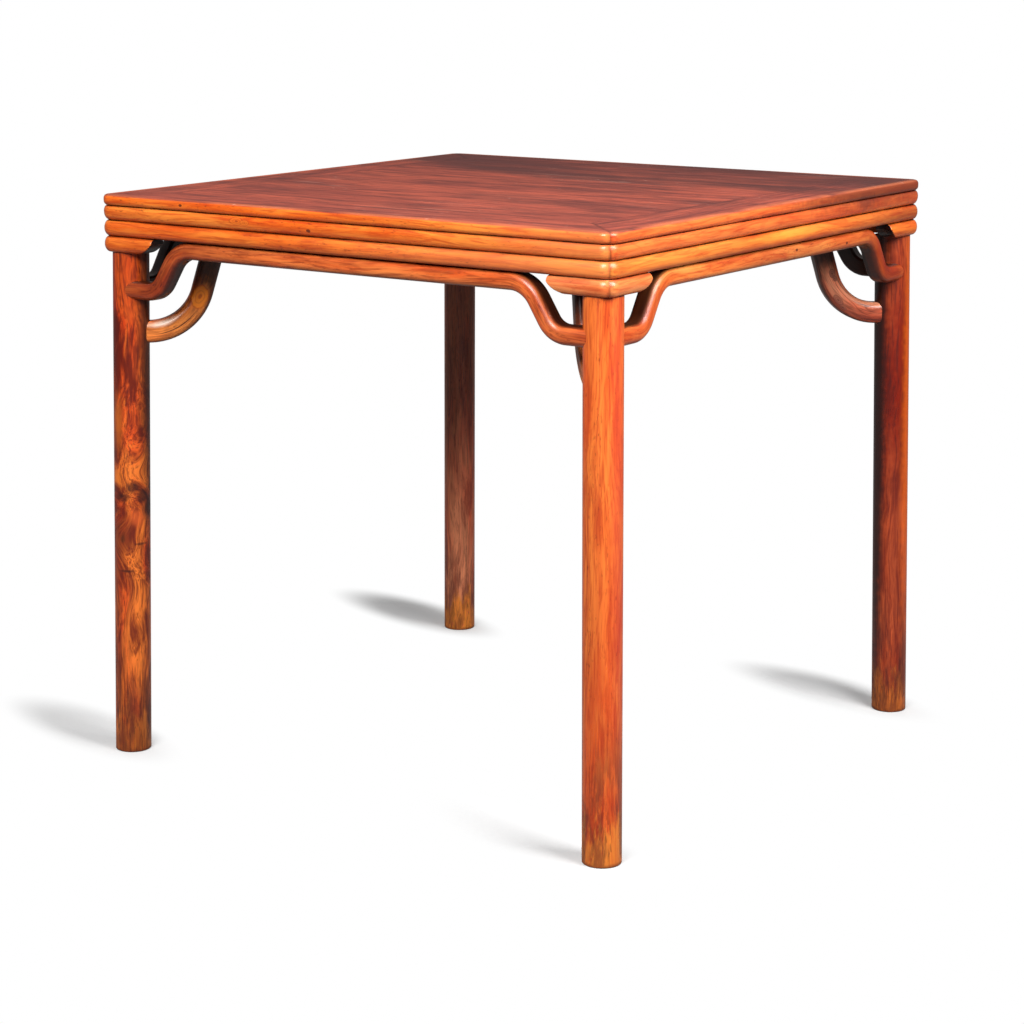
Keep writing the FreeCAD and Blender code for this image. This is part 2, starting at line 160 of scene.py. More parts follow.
def paint(colour: Screen) -> tuple[float, float, float, float]:
    """Turn a colour as a screen shows it into the linear colour that a shader takes.

    Args:
        colour: Red, green and blue from 0 to 255.

    Returns:
        The linear colour with an alpha of one.
    """
    shares = [part / 255.0 for part in colour]
    linear = [share / 12.92 if share <= 0.04045 else ((share + 0.055) / 1.055) ** 2.4 for share in shares]
    return (*linear, 1.0)


class Wire:
    """A node's output, so that node maths reads like arithmetic; plain values may stand on the other side."""

    def __init__(self, sheet: "Sheet", socket: Socket) -> None:
        """Hold an output socket on a sheet."""
        self.sheet = sheet
        self.socket = socket

    def math(self, operation: str, *others: object) -> "Wire":
        """Add a Math node, or a Vector Math node if this has more than one part.

        Args:
            operation: The name of the operation.
            others: Its inputs after this one.

        Returns:
            The result.
        """
        kind = "Math" if self.socket.type == "VALUE" else "VectorMath"
        return next(iter(self.sheet.node(kind, self, *others, operation=operation).values()))

    def __add__(self, other: object) -> "Wire":
        """The sum."""
        return self.math("ADD", other)

    def __sub__(self, other: object) -> "Wire":
        """The difference."""
        return self.math("SUBTRACT", other)

    def __rsub__(self, other: object) -> "Wire":
        """The difference from a plain value."""
        return self.math("MULTIPLY_ADD", -1.0, other)

    def __mul__(self, other: object) -> "Wire":
        """The product."""
        return self.math("MULTIPLY", other)

    def __truediv__(self, other: object) -> "Wire":
        """The quotient."""
        return self.math("DIVIDE", other)

    def __abs__(self) -> "Wire":
        """The size without its sign."""
        return self.math("ABSOLUTE")

    def most(self, other: object) -> "Wire":
        """The larger of two."""
        return self.math("MAXIMUM", other)

    def parts(self) -> list["Wire"]:
        """X, Y and Z."""
        return list(self.sheet.node("SeparateXYZ", self).values())

    def mix(self, share: object, colour: object, blend: str = "MIX") -> "Wire":
        """This colour with a share of another laid on it."""
        return self.sheet.mix(share, self, colour, blend)

    def step(self, low: float, high: "float | Wire") -> "Wire":
        """A soft step from nought at low to one at high.

        Args:
            low: Where the step starts.
            high: Where it ends; below low, or wired, for a falling step.

        Returns:
            The step.
        """
        rising = not isinstance(high, Wire) and high > low
        ends = (low, high, 0.0, 1.0) if rising else (high, low, 1.0, 0.0)
        return self.sheet.node("MapRange", self, *ends, interpolation_type="SMOOTHSTEP")["Result"]

    def noise(self, stretch: Triple, detail: float, rough: float = 0.5, output: str = "Fac") -> "Wire":
        """A noise at these coordinates.

        Args:
            stretch: Its features per metre along each axis.
            detail: The number of finer layers.
            rough: The strength of the finer layers.
            output: The name of the output.

        Returns:
            The noise.
        """
        place = self * stretch
        return self.sheet.node("TexNoise", Vector=place, Scale=1.0, Detail=detail, Roughness=rough)[output]

    def bent(self, stretch: Triple, detail: float, push: Triple, share: object) -> "Wire":
        """These coordinates swung to and fro, which bends the grain.

        Args:
            stretch: The swing's features per metre along each axis.
            detail: The number of its finer layers.
            push: Its full width along each axis.
            share: How much of it is taken.

        Returns:
            The new coordinates.
        """
        swing = self.noise(stretch, detail, output="Color") - (0.5, 0.5, 0.5)
        return self + swing * push * share


class Sheet:
    """A node tree being drawn."""

    def __init__(self, tree: Tree) -> None:
        """Start drawing on a tree."""
        self.tree = tree

    def feed(self, socket: Socket, value: object) -> None:
        """Join a socket to a wire, or set its value.

        Args:
            socket: The input socket.
            value: A wire or a plain value; a colour is given as a screen shows it.
        """
        if isinstance(value, Wire):
            self.tree.links.new(value.socket, socket)
        else:
            socket.default_value = paint(value) if socket.type == "RGBA" else value

    def fill(self, made: bpy.types.Node, **inputs: object) -> None:
        """Feed a node's inputs by name, with _ for a space."""
        for name, value in inputs.items():
            self.feed(made.inputs[name.replace("_", " ")], value)

    def node(self, kind: str, *values: object, **given: object) -> dict[str, Wire]:
        """Add a node.

        Args:
            kind: Its type name without ShaderNode.
            values: Wires or values for its inputs in order.
            given: Its settings, in small letters, and other inputs, with a capital.

        Returns:
            Its outputs by name.
        """
        made = self.tree.nodes.new("ShaderNode" + kind)
        for name in filter(str.islower, given):
            setattr(made, name, given[name])
        for socket, value in zip([socket for socket in made.inputs if socket.enabled], values):
            self.feed(socket, value)
        self.fill(made, **{name: value for name, value in given.items() if not name.islower()})
        return {output.name: Wire(self, output) for output in made.outputs if output.enabled}

    def mix(self, share: object, first: object, second: object, blend: str = "MIX") -> Wire:
        """Add a mix of two colours, with a share of the second laid on the first."""
        return self.node("Mix", share, first, second, data_type="RGBA", blend_type=blend)["Result"]


class GroupSheet(Sheet):
    """A shared node group being drawn."""

    def __init__(self, name: str, **takes: str) -> None:
        """Start a group with its inputs.

        Args:
            name: The group's name.
            takes: The kind of each input by its name.
        """
        super().__init__(bpy.data.node_groups.new(name, "ShaderNodeTree"))
        for label, kind in takes.items():
            self.tree.interface.new_socket(name=label, in_out="INPUT", socket_type="NodeSocket" + kind)
        entry = self.tree.nodes.new("NodeGroupInput")
        self.take = [Wire(self, entry.outputs[label]) for label in takes]

    def give(self, **results: Wire) -> Tree:
        """Add the group's outputs.

        Args:
            results: What each output gives, by its name.

        Returns:
            The group.
        """
        for label, result in results.items():
            kind = "NodeSocketColor" if result.socket.type == "RGBA" else "NodeSocketFloat"
            self.tree.interface.new_socket(name=label, in_out="OUTPUT", socket_type=kind)
        self.fill(self.tree.nodes.new("NodeGroupOutput"), **results)
        return self.tree


class WoodGroups:
    """The node groups that the finishes share, each drawn once."""

    grain: Tree
    knot: Tree
    joints: Tree
    wear: Tree
    foot: Tree

    def __init__(self) -> None:
        """Draw every group."""
        self.draw_grain()
        self.draw_knot()
        self.draw_joints()
        self.draw_wear()
        self.draw_foot()

    def draw_grain(self) -> None:
        """Draw rosewood grain that runs along the X of the coordinates given."""
        sheet = GroupSheet("rosewood_grain", Vector="Vector", Heart="Color", Pale="Color", Dark="Color",
                           Figure="Float", Streak="Float", Fleck="Float", Ring="Float")
        here, heart, pale, dark, figure, streaky, flecks, rings = sheet.take
        place = here.bent((3.4, 11.0, 11.0), 2.0, (0.05, 0.09, 0.09), figure)
        tone = place.noise((2.8, 23.0, 23.0), 3.0, 0.55).step(0.36, 0.64)
        patch = (place + (1.3, 0.2, 0.9)).noise((8.0, 54.0, 54.0), 3.0, 0.54)
        gleam = patch.step(0.5, 0.68) * 0.6
        cloud = patch.step(0.5, 0.32) * (figure + 0.15)
        band = (place + (3.1, 0.7, 0.3)).noise((1.5, 34.0, 34.0), 3.0, 0.6).step(0.47, 0.68) * figure
        medium = place.noise((7.5, 118.0, 118.0), 3.0, 0.62)
        streak = medium.step(0.47, 0.73) * streaky
        light = medium.step(0.46, 0.24) * streaky
        thread = place.noise((17.0, 360.0, 360.0), 2.0, 0.6).step(0.46, 0.68) * streaky * 0.9
        wave = (place.noise((5.0, 30.0, 30.0), 1.0) * 46.0).math("SINE")
        ring = wave.step(0.72, 0.98) * rings
        pore = here.noise((120.0, 420.0, 420.0), 1.0).step(0.57, 0.82) * patch.step(0.62, 0.4)
        colour = heart.mix(tone, pale).mix(light.most(gleam), pale)
        for mask in (cloud, band, streak, thread, ring):
            colour = colour.mix(mask, dark)
        coarse = streak + thread
        self.grain = sheet.give(Color=colour.mix(pore * flecks, PORE), Height=1.0 - (coarse * 0.5 + pore),
                                Roughness=coarse * 0.12 + 0.27 + tone * 0.05)

    def draw_knot(self) -> None:
        """Draw the mask of one knot, crack, rubbed spot, painted shade or painted highlight."""
        sheet = GroupSheet("wood_knot", Vector="Vector", Centre="Vector", Reach="Vector", Edge="Float")
        here, centre, reach, edge = sheet.take
        wobble = here.noise((95.0, 95.0, 95.0), 1.0) * 0.3 - 0.15
        span = ((here - centre) / reach).math("LENGTH") + wobble
        rim = abs(span - 0.9).step(0.13, 0.02)
        year = (span * 17.0).math("SINE").step(0.2, 1.0) * 0.45
        self.knot = sheet.give(Mask=span.step(1.0, edge), Core=rim.most(year).most(span.step(0.26, 0.1)))

    def draw_joints(self) -> None:
        """Draw the dark lines that old wax and dust leave in grooves and mitres, and a painted shade over the
        lower part of each bead.
        """
        sheet = GroupSheet("joint_lines", Vector="Vector", Upper="Float", Lower="Float", Mitre="Float")
        here, upper, lower, mitre = sheet.take
        x, y, z = here.parts()
        off = abs(abs(x) - abs(y))
        grime = (off.step(0.006, 0.0005) * 0.5).most(off.step(0.0014, 0.0002) * 0.7) * mitre
        for line in (upper, lower):
            off = z - line
            # Painted shade: darker over the lower part of each bead, from 3.5 mm below a groove line to 7.5 mm
            # above it
            over = off.step(0.0075, 0.0) * off.step(-0.0035, 0.0) * 0.38
            # Painted shade joins the dark joint lines in grime here
            grime = grime.most(over).most(abs(off).step(0.0016, 0.0005))
        whole = here.noise((22.0, 22.0, 22.0), 2.0).step(0.3, 0.6)
        self.joints = sheet.give(Mask=grime * (whole * 0.3 + 0.7))

    def draw_wear(self) -> None:
        """Draw the upper face's mask, the pale scratches and darker stains on it, and painted shade that
        darkens it towards the back.
        """
        sheet = GroupSheet("table_top_wear", Vector="Vector")
        here = sheet.take[0]
        wide, depth, level = here.parts()
        rub = here.noise((5.0, 9.0, 1.0), 2.0, 0.6)
        scratch = here.noise((50.0, 150.0, 1.0), 2.0, 0.6).step(0.68, 0.75) * rub.step(0.5, 0.62)
        line = abs(here.noise((1.6, 64.0, 1.0), 0.0) - 0.5)
        hair = line.step(0.014, 0.003) * rub.step(0.54, 0.64) * 0.4
        cloud = here.noise((2.4, 7.5, 1.0), 4.0, 0.62)
        stain = cloud.step(0.44, 0.66) * (depth.step(-0.42, 0.05) * 0.5 + 0.2)
        # Painted shade: the upper face darkens towards the back
        back_shade = ((cloud - 0.5) * 1.1 + depth).step(0.05, 0.42)
        rim = abs(wide).most(abs(depth)).step(HALF - 0.019, HALF - 0.005) * rub.step(0.36, 0.56)
        top = level.step(TOP - 0.0028, TOP - 0.0008)
        self.wear = sheet.give(Top=top, Scratch=scratch.most(hair), Stain=stain.most(back_shade), Rim=rim)

    def draw_foot(self) -> None:
        """Draw a foot rubbed pale by the floor, its cracks, and the grime of mopping above it."""
        sheet = GroupSheet("worn_foot", Vector="Vector")
        here = sheet.take[0]
        level = here.parts()[2]
        ragged = here.noise((75.0, 75.0, 16.0), 4.0, 0.68) - 0.5
        bare = (ragged * 0.2 + level).step(0.075, 0.035)
        splits = abs(here.noise((90.0, 90.0, 9.0), 3.0, 0.55) - 0.56)
        crack = splits.step(0.022, 0.005) * level.step(0.12, 0.04)
        smear = here.noise((64.0, 64.0, 10.0), 5.0, 0.68).step(0.42, 0.60) * level.step(0.24, 0.09)
        self.foot = sheet.give(Bare=bare, Crack=crack, Grime=smear.most(level.step(0.008, 0.002)))


class CoatSheet(Sheet):
    """A material being drawn, with its colour and roughness so far."""

    colour: Wire
    rough: Wire

    def __init__(self, name: str, groups: WoodGroups, grain: Grain) -> None:
        """Start a material with the coordinates that it is laid on.

        Args:
            name: The material's name.
            groups: The shared node groups.
            grain: The way the grain runs; the coordinates of a bent bar follow its run.
        """
        self.material = bpy.data.materials.new(name)
        self.material.use_nodes = True
        super().__init__(self.material.node_tree)
        self.groups = groups
        if grain is Grain.ALONG_RUN:
            self.here = self.node("Attribute", attribute_name=BentBar.RUN)["Vector"]
        else:
            self.here = self.node("TexCoord")["Object"]

    def cover(self, share: object, colour: object, blend: str = "MIX") -> None:
        """Lay a colour over the colour so far."""
        self.colour = self.colour.mix(share, colour, blend)


@dataclass(frozen=True)
class Mark:
    """A knot, crack, rubbed spot, tint, painted shade or painted highlight, its place and reach in
    millimetres; a core draws rings in it.
    """

    centre: Triple
    reach: Triple
    body: Screen
    strength: float = 0.9
    edge: float = 0.8
    core: Screen | None = None
    tint: bool = False

    def lay(self, sheet: CoatSheet) -> None:
        """Add the mark over a material's grain.

        Args:
            sheet: The material's sheet.
        """
        centre, reach = ([part / MM for part in triple] for triple in (self.centre, self.reach))
        spot = sheet.node("Group", node_tree=sheet.groups.knot, Vector=sheet.here, Centre=centre, Reach=reach,
                          Edge=self.edge)
        inner = sheet.mix(spot["Core"], self.body, self.core) if self.core else self.body
        sheet.cover(spot["Mask"] * self.strength, inner, "MULTIPLY" if self.tint else "MIX")


@dataclass(frozen=True)
class Rosewood:
    """Polished rosewood of one tone."""

    heart: Screen
    pale: Screen
    dark: Screen
    figure: float
    streak: float
    fleck: float
    ring: float

    def lay(self, sheet: CoatSheet, place: Wire) -> dict[str, Wire]:
        """Add this wood's grain to a material.

        Args:
            sheet: The material's sheet.
            place: Coordinates with the grain along X.

        Returns:
            The grain's outputs by name.
        """
        tones = {name.capitalize(): value for name, value in vars(self).items()}
        return sheet.node("Group", node_tree=sheet.groups.grain, Vector=place, **tones)


@dataclass(frozen=True)
class TimberCoat:
    """One timber's whole finish: its wood, grain, joint lines, marks and worn upper face, with painted shade
    on undersides and inner faces.
    """

    name: str
    wood: Rosewood
    grain: Grain
    seed: int
    upper_line: float = -1.0
    lower_line: float = -1.0
    mitre: float = 0.0
    top_wood: Rosewood | None = None
    under: float = 0.0
    worn_foot: float = 0.0
    raw_inside: float = 0.0
    burl: float = 0.0
    marks: tuple[Mark, ...] = ()
    grime_share: float = 0.62
    crack_share: float = 0.5
    dust_share: float = 0.95
    raw_share: float = 0.97
    stain_share: float = 0.85
    rim_share: float = 0.6
    scratch_share: float = 0.5
    top_dulling: float = 0.24
    pore_strength: float = 0.25
    pore_depth: float = 0.0004
    polish: float = 0.5

    def material(self, groups: WoodGroups) -> bpy.types.Material:
        """Make the material.

        Args:
            groups: The shared node groups.

        Returns:
            The material.
        """
        sheet = CoatSheet(self.name, groups, self.grain)
        here = sheet.here
        place = sheet.node("Mapping", Vector=here, Rotation=self.grain.turn, Location=self.slide())["Vector"]
        if self.burl > 0.0:
            near = abs(here.parts()[2] - self.burl).step(0.24, 0.04)
            place = place.bent((7.0, 9.0, 9.0), 1.0, (0.10, 0.18, 0.18), near)
        wood = self.wood.lay(sheet, place)
        sheet.colour, sheet.rough = wood["Color"], wood["Roughness"]
        for mark in self.marks:
            mark.lay(sheet)
        if self.worn_foot > 0.0:
            foot = sheet.node("Group", node_tree=groups.foot, Vector=here)
            bare = sheet.mix(wood["Height"], self.wood.heart, BARE_WOOD)
            sheet.cover(foot["Bare"] * self.worn_foot, bare)
            sheet.cover(foot["Grime"] * self.grime_share, MOP_GRIME)
            sheet.cover(foot["Crack"] * self.crack_share, FOOT_CRACK)
        if self.top_wood:
            self.add_top(sheet, place)
        if self.upper_line > 0.0:
            lines = sheet.node("Group", node_tree=groups.joints, Vector=here, Upper=self.upper_line,
                               Lower=self.lower_line, Mitre=self.mitre)
            # The mask holds the dark joint lines and the painted shade on the beads' lower parts
            sheet.cover(lines["Mask"] * self.dust_share, JOINT_DUST_AND_SHADE)
        # Painted shade: everything below the under level is painted near black
        if self.under > 0.0:
            sheet.cover(here.parts()[2].step(self.under + 0.0005, self.under), UNDERSIDE_SHADE)
        # Painted shade: the bar's inner face and upper face are painted near black
        if self.raw_inside > 0.0:
            _, across, above = here.parts()
            inside = across.step(self.raw_inside * 0.2, self.raw_inside * 0.8)
            upper = above.step(self.raw_inside * 0.7, self.raw_inside * 0.98) * 0.95
            sheet.cover(inside.most(upper) * self.raw_share, SHADED_INSIDE)
        bump = sheet.node("Bump", Height=wood["Height"], Strength=self.pore_strength, Distance=self.pore_depth)
        sheet.fill(sheet.tree.nodes["Principled BSDF"], Base_Color=sheet.colour, Roughness=sheet.rough,
                   Normal=bump["Normal"], Specular_IOR_Level=self.polish)
        return sheet.material

    def slide(self) -> Triple:
        """Where this timber was cut from, so that no two show the same grain."""
        return self.seed * 1.37, 0.05 + self.seed * 0.231, 0.07 + self.seed * 0.173

    def add_top(self, sheet: CoatSheet, place: Wire) -> None:
        """Add the worn upper face.

        Args:
            sheet: The material's sheet.
            place: Coordinates with the grain along X.
        """
        face = self.top_wood.lay(sheet, place)
        wear = sheet.node("Group", node_tree=sheet.groups.wear, Vector=sheet.here)
        # Stains and the painted shade towards the back darken the upper face
        worn = face["Color"].mix(wear["Stain"] * self.stain_share, self.top_wood.dark)
        worn = worn.mix(wear["Rim"] * self.rim_share, RUBBED_RIM)
        worn = worn.mix(wear["Scratch"] * self.scratch_share, SCRATCHED)
        sheet.cover(wear["Top"], worn)
        sheet.rough = (face["Roughness"] + self.top_dulling - sheet.rough) * wear["Top"] + sheet.rough


EDGE_ORANGE = Rosewood((246, 110, 28), (255, 146, 54), (192, 52, 6), 0.3, 0.65, 0.8, 0.2)
EDGE_RED = Rosewood((250, 98, 38), (255, 132, 60), (192, 50, 16), 0.3, 0.5, 0.25, 0.2)
STRIP_ORANGE = Rosewood((238, 98, 24), (254, 140, 50), (172, 46, 6), 0.3, 0.6, 0.7, 0.2)
STRIP_GOLD = Rosewood((250, 112, 36), (255, 152, 62), (196, 58, 16), 0.3, 0.5, 0.25, 0.2)
# Paler, pinker cap wood for the front right corner: painted sheen
CAP_SHEEN_ORANGE = Rosewood((250, 138, 72), (255, 176, 110), (196, 72, 30), 0.35, 0.6, 0.35, 0.15)
# End grain darkened near black by painted shade, for the caps' curved ends
END_GRAIN_AND_SHADE = Rosewood((40, 14, 10), (54, 20, 13), (22, 8, 6), 0.3, 0.5, 0.4, 0.0)
TOP_BROWN = Rosewood((154, 66, 50), (188, 86, 62), (72, 31, 28), 0.35, 0.62, 0.45, 0.15)
LEG_ORANGE = Rosewood((230, 94, 36), (246, 128, 52), (176, 46, 14), 0.35, 0.65, 0.7, 0.15)
LEG_FLAME = Rosewood((238, 88, 32), (255, 132, 50), (106, 24, 8), 0.8, 0.85, 0.8, 0.25)
LEG_RED = Rosewood((184, 66, 26), (208, 94, 50), (112, 22, 8), 0.45, 0.8, 0.5, 0.15)
LEG_DARK = Rosewood((246, 112, 72), (255, 156, 110), (140, 46, 26), 0.45, 0.55, 0.5, 0.1)
STRETCHER_RED = Rosewood((232, 96, 38), (252, 142, 70), (132, 34, 10), 0.4, 0.65, 0.9, 0.2)
STRETCHER_GOLD = Rosewood((252, 126, 50), (255, 162, 80), (186, 54, 16), 0.4, 0.6, 0.6, 0.2)
BRACE_RED = Rosewood((246, 112, 44), (255, 150, 70), (116, 38, 17), 0.45, 0.5, 0.5, 0.3)
BRACE_DARK = Rosewood((255, 108, 70), (255, 166, 124), (76, 26, 18), 0.6, 0.6, 0.5, 0.4)
# Dark brown painted as shade, for the battens under the top
HIDDEN_SHADE_BROWN = Rosewood((60, 30, 22), (74, 38, 28), (34, 16, 12), 0.5, 0.4, 0.3, 0.1)

# Marks on straight timbers, at their places on the table
RAIL_MARKS = {
    Side.FRONT: (
        # Painted sheen: the rail grows paler towards the front right corner
        Mark((420, -455, 842), (260, 60, 50), (252, 146, 84), 0.45, 0.0),
        Mark((-290, -453, 856.5), (3.5, 20, 2.2), KNOT, core=SOOT),
        Mark((-183, -455, 840), (15, 20, 6.2), (232, 116, 34), 0.6, core=(126, 38, 8)),
        Mark((-168, -455, 838.5), (9, 20, 4.8), (236, 122, 38), 0.6, core=(126, 38, 8)),
        Mark((-50, -455, 834.5), (4.2, 20, 2.6), KNOT, core=SOOT),
    ),
    Side.RIGHT: (
        Mark((455, 262, 846), (40, 40, 20), (112, 56, 42), 0.6, 0.1),
        Mark((455, 288, 850), (20, 2.4, 12), SOOT, 0.8, 0.2),
        # Painted shade: the right side's beads darken towards the back end
        Mark((455, 330, 866), (60, 430, 44), (112, 42, 26), 0.85, 0.3),
    ),
}
STRIP_MARKS = {
    # Painted sheen: the strip grows paler towards the front right corner
    Side.FRONT: (Mark((420, -455, 814), (600, 60, 60), (252, 150, 92), 0.38, 0.0),),
    Side.RIGHT: (
        # Painted shade: darker towards the back end
        Mark((455, 430, 806), (60, 300, 50), (136, 44, 18), 0.6, 0.1),
        # Painted highlight: a narrow golden band along the bead's upper part
        Mark((455, 20, 818), (60, 160, 12), (255, 172, 62), 0.6, 0.0),
    ),
}
LEG_MARKS = {
    Corner.FRONT_LEFT: (
        Mark((-430, -454, 520), (17, 17, 65), HONEY, 0.5, 0.0),
        Mark((-433, -453, 436), (16, 16, 16), HONEY, 0.6, 0.1),
        Mark((-404, -441, 372), (16, 16, 20), (232, 100, 44), 0.6, 0.3),
        Mark((-423, -454, 342), (24, 24, 40), (116, 34, 16), 0.7, 0.0, UMBER),
        Mark((-408, -447, 419), (15, 15, 13), UMBER, 0.8, 0.3),
        Mark((-401, -433, 406), (16, 16, 18), UMBER, 0.85, 0.3),
        Mark((-400, -421, 386), (17, 17, 26), UMBER, 0.85, 0.3),
        Mark((-423, -454, 404), (18, 18, 12), UMBER, 0.75, 0.2),
        Mark((-418, -452, 289), (20, 20, 2.8), UMBER, 0.7, 0.2),
        Mark((-402, -438, 331), (14, 14, 3), UMBER, 0.7, 0.2),
        # Painted shade: a dark stripe down the leg's right side
        Mark((-398, -418, 620), (20, 24, 360), UMBER, 0.85, 0.2),
        Mark((-410, -436, 0), (45, 40, 160), (138, 136, 190), 1.0, 0.3, tint=True),
        # Painted shade: the upper leg darkened under the top
        Mark((-430, -440, 760), (60, 60, 240), (216, 168, 152), 1.0, 0.3, tint=True),
    ),
    Corner.FRONT_RIGHT: (
        Mark((449, -428, 300), (21, 21, 900), (226, 70, 50), 0.55, 0.1),
        Mark((406, -446, 160), (13, 13, 160), (84, 30, 28), 0.6, 0.1),
    ),
    Corner.BACK_RIGHT: (
        # Painted shade: the upper leg darkened under the top
        Mark((436, 416, 560), (60, 60, 300), (172, 106, 86), 1.0, 0.2, tint=True),
        # Painted shade: a dark stripe down the leg's left side
        Mark((412, 402, 500), (24, 21, 1100), UMBER, 0.93, 0.35),
        # Painted light: the leg's right side brighter orange
        Mark((448.7, 436.1, 520), (27, 27, 620), (244, 104, 10), 0.75, 0.4),
    ),
    # Painted shade: the upper leg darkened under the top
    Corner.BACK_LEFT: (Mark((-412, 408, 780), (45, 45, 360), UMBER, 0.6, 0.0),),
}

# Marks on bent bars, at their places along the run, outward and upward
STRETCHER_MARKS = {
    Side.FRONT: (
        Mark((60, -13.5, 0), (300, 60, 60), (190, 164, 160), 1.0, 0.0, tint=True),
        # Painted shade: the underside of the first bend and slope painted near black
        Mark((95, 0, -13.5), (80, 30, 8.5), KNOT_BLACK_AND_SHADE, 0.85, 0.3),
        Mark((830, -13.5, 0), (120, 60, 60), (236, 222, 228), 1.0, 0.2, tint=True),
    ),
    Side.RIGHT: (
        Mark((50, -13.5, 0), (130, 60, 60), (226, 198, 204), 1.0, 0.3, tint=True),
        Mark((501, -13.5, 2.5), (4.2, 20, 2.6), (110, 44, 22), core=KNOT_BLACK_AND_SHADE),
        Mark((658, -13.5, -2.5), (3.6, 20, 2.4), (100, 40, 20), core=KNOT_BLACK_AND_SHADE),
        # Painted shade: darker towards the back end
        Mark((815, -13.5, 0), (125, 60, 60), (182, 126, 110), 1.0, 0.3, tint=True),
        # Painted shade: the underside of the last slope and bend painted near black
        Mark((790, 0, -13.5), (80, 30, 8.5), KNOT_BLACK_AND_SHADE, 0.85, 0.3),
    ),
}
# Painted shade: each brace's upper part darkened under the top
BRACE_HEAD_SHADE = Mark((195, 0, 0), (85, 60, 60), (36, 11, 11), 0.88, 0.5)
BRACE_MARKS = {
    Corner.FRONT_LEFT: (
        Mark((112, -16, 2), (22, 30, 14), (255, 140, 40), 0.95, core=(204, 92, 22)),
        # Painted highlight: a pale streak along the top of the low run
        Mark((36, -13, 11), (42, 12, 7), (255, 230, 208), 0.8, 0.1),
        Mark((56, -16, -3), (46, 30, 1.3), (62, 24, 16), 0.85, 0.4),
    ),
    Corner.BACK_RIGHT: (
        Mark((125, 16, 4), (8.5, 20, 5.5), ASH, 0.8, core=ASH_RIM),
        Mark((116, 16, 6), (6, 20, 4), ASH, 0.8, core=ASH_RIM),
        Mark((83, 16, -6), (11, 20, 5.5), ASH, 0.75, core=ASH_RIM),
        Mark((70, 16, -9), (7, 20, 3.5), ASH, 0.7, core=ASH_RIM),
    ),
}


def shown(bm: BMesh, node: str, material: bpy.types.Material) -> bpy.types.Object:
    """Turn a finished bmesh into the piece that stands for a node.

    Args:
        bm: The finished shape, which is freed.
        node: The node that the piece stands for.
        material: Its material.

    Returns:
        The piece.
    """
    sharpest = math.radians(34)
    bmesh.ops.recalc_face_normals(bm, faces=bm.faces[:])
    for face in bm.faces:
        face.smooth = True
    for edge in bm.edges:
        edge.smooth = edge.is_manifold and edge.calc_face_angle() < sharpest
    open_edges = sum(1 for edge in bm.edges if not edge.is_manifold)
    mesh = bpy.data.meshes.new(node + "_dressed")
    bm.to_mesh(mesh)
    bm.free()
    mesh.materials.append(material)
    piece = placed(node + "_dressed", mesh)
    even = piece.modifiers.new("Even shading", "WEIGHTED_NORMAL")
    even.keep_sharp = True
    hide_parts(node)
    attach(piece, "root")
    LOG.info("%s: %d faces, %d open edges", piece.name, len(mesh.polygons), open_edges)
    return piece


def repaint(node: str, material: bpy.types.Material) -> None:
    """Give a node that keeps its solid a better material.

    Args:
        node: The node's name.
        material: Its new material.
    """
    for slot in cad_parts[node].material_slots:
        slot.material = material
    LOG.info("%s keeps its solid", node)


def placed(name: str, data: bpy.types.ID) -> bpy.types.Object:
    """Add an object to the scene.

    Args:
        name: The object's name.
        data: Its mesh, lamp or camera.

    Returns:
        The object.
    """
    made = bpy.data.objects.new(name, data)
    bpy.context.scene.collection.objects.link(made)
    return made


def turned(bm: BMesh, matrix: Matrix) -> BMesh:
    """Move a whole shape and hand it back."""
    bmesh.ops.transform(bm, matrix=matrix, verts=bm.verts[:])
    return bm


def at_level(parts: Iterable, level: float) -> list:
    """The edges or faces that lie flat at a level."""
    return [part for part in parts if all(abs(vert.co.z - level) < NEAR for vert in part.verts)]


def ease(bm: BMesh, parts: list, radius: float, segments: int, affect: str = "EDGES") -> None:
    """Round edges or corners.

    Args:
        bm: The shape.
        parts: The edges or vertices.
        radius: The radius of the round.
        segments: The number of its facets.
        affect: Whether edges or vertices are rounded.
    """
    bmesh.ops.bevel(bm, geom=parts, offset=radius, offset_type="OFFSET", affect=affect, segments=segments,
                    profile=0.5, material=-1)


def draw_out(bm: BMesh, faces: list, by: Vector) -> bmesh.types.BMFace:
    """Draw faces out of a shape.

    Args:
        bm: The shape.
        faces: The faces.
        by: How far they are drawn out, and which way.

    Returns:
        The first of the moved faces.
    """
    drawn = bmesh.ops.extrude_face_region(bm, geom=faces)["geom"]
    bmesh.ops.translate(bm, verts=[part for part in drawn if isinstance(part, bmesh.types.BMVert)], vec=by)
    return next(part for part in drawn if isinstance(part, bmesh.types.BMFace))


def slice_off(bm: BMesh, at: Vector, outward: Vector) -> None:
    """Cut a closed shape with a plane, drop what lies outward of it, and close the cut.

    Args:
        bm: The shape.
        at: A point on the plane.
        outward: The way to the part that is dropped.
    """
    whole = bm.verts[:] + bm.edges[:] + bm.faces[:]
    cut = bmesh.ops.bisect_plane(bm, geom=whole, dist=NEAR, plane_co=at, plane_no=outward, clear_outer=True)
    rim = [part for part in cut["geom_cut"] if isinstance(part, bmesh.types.BMEdge)]
    bmesh.ops.edgeloop_fill(bm, edges=rim)


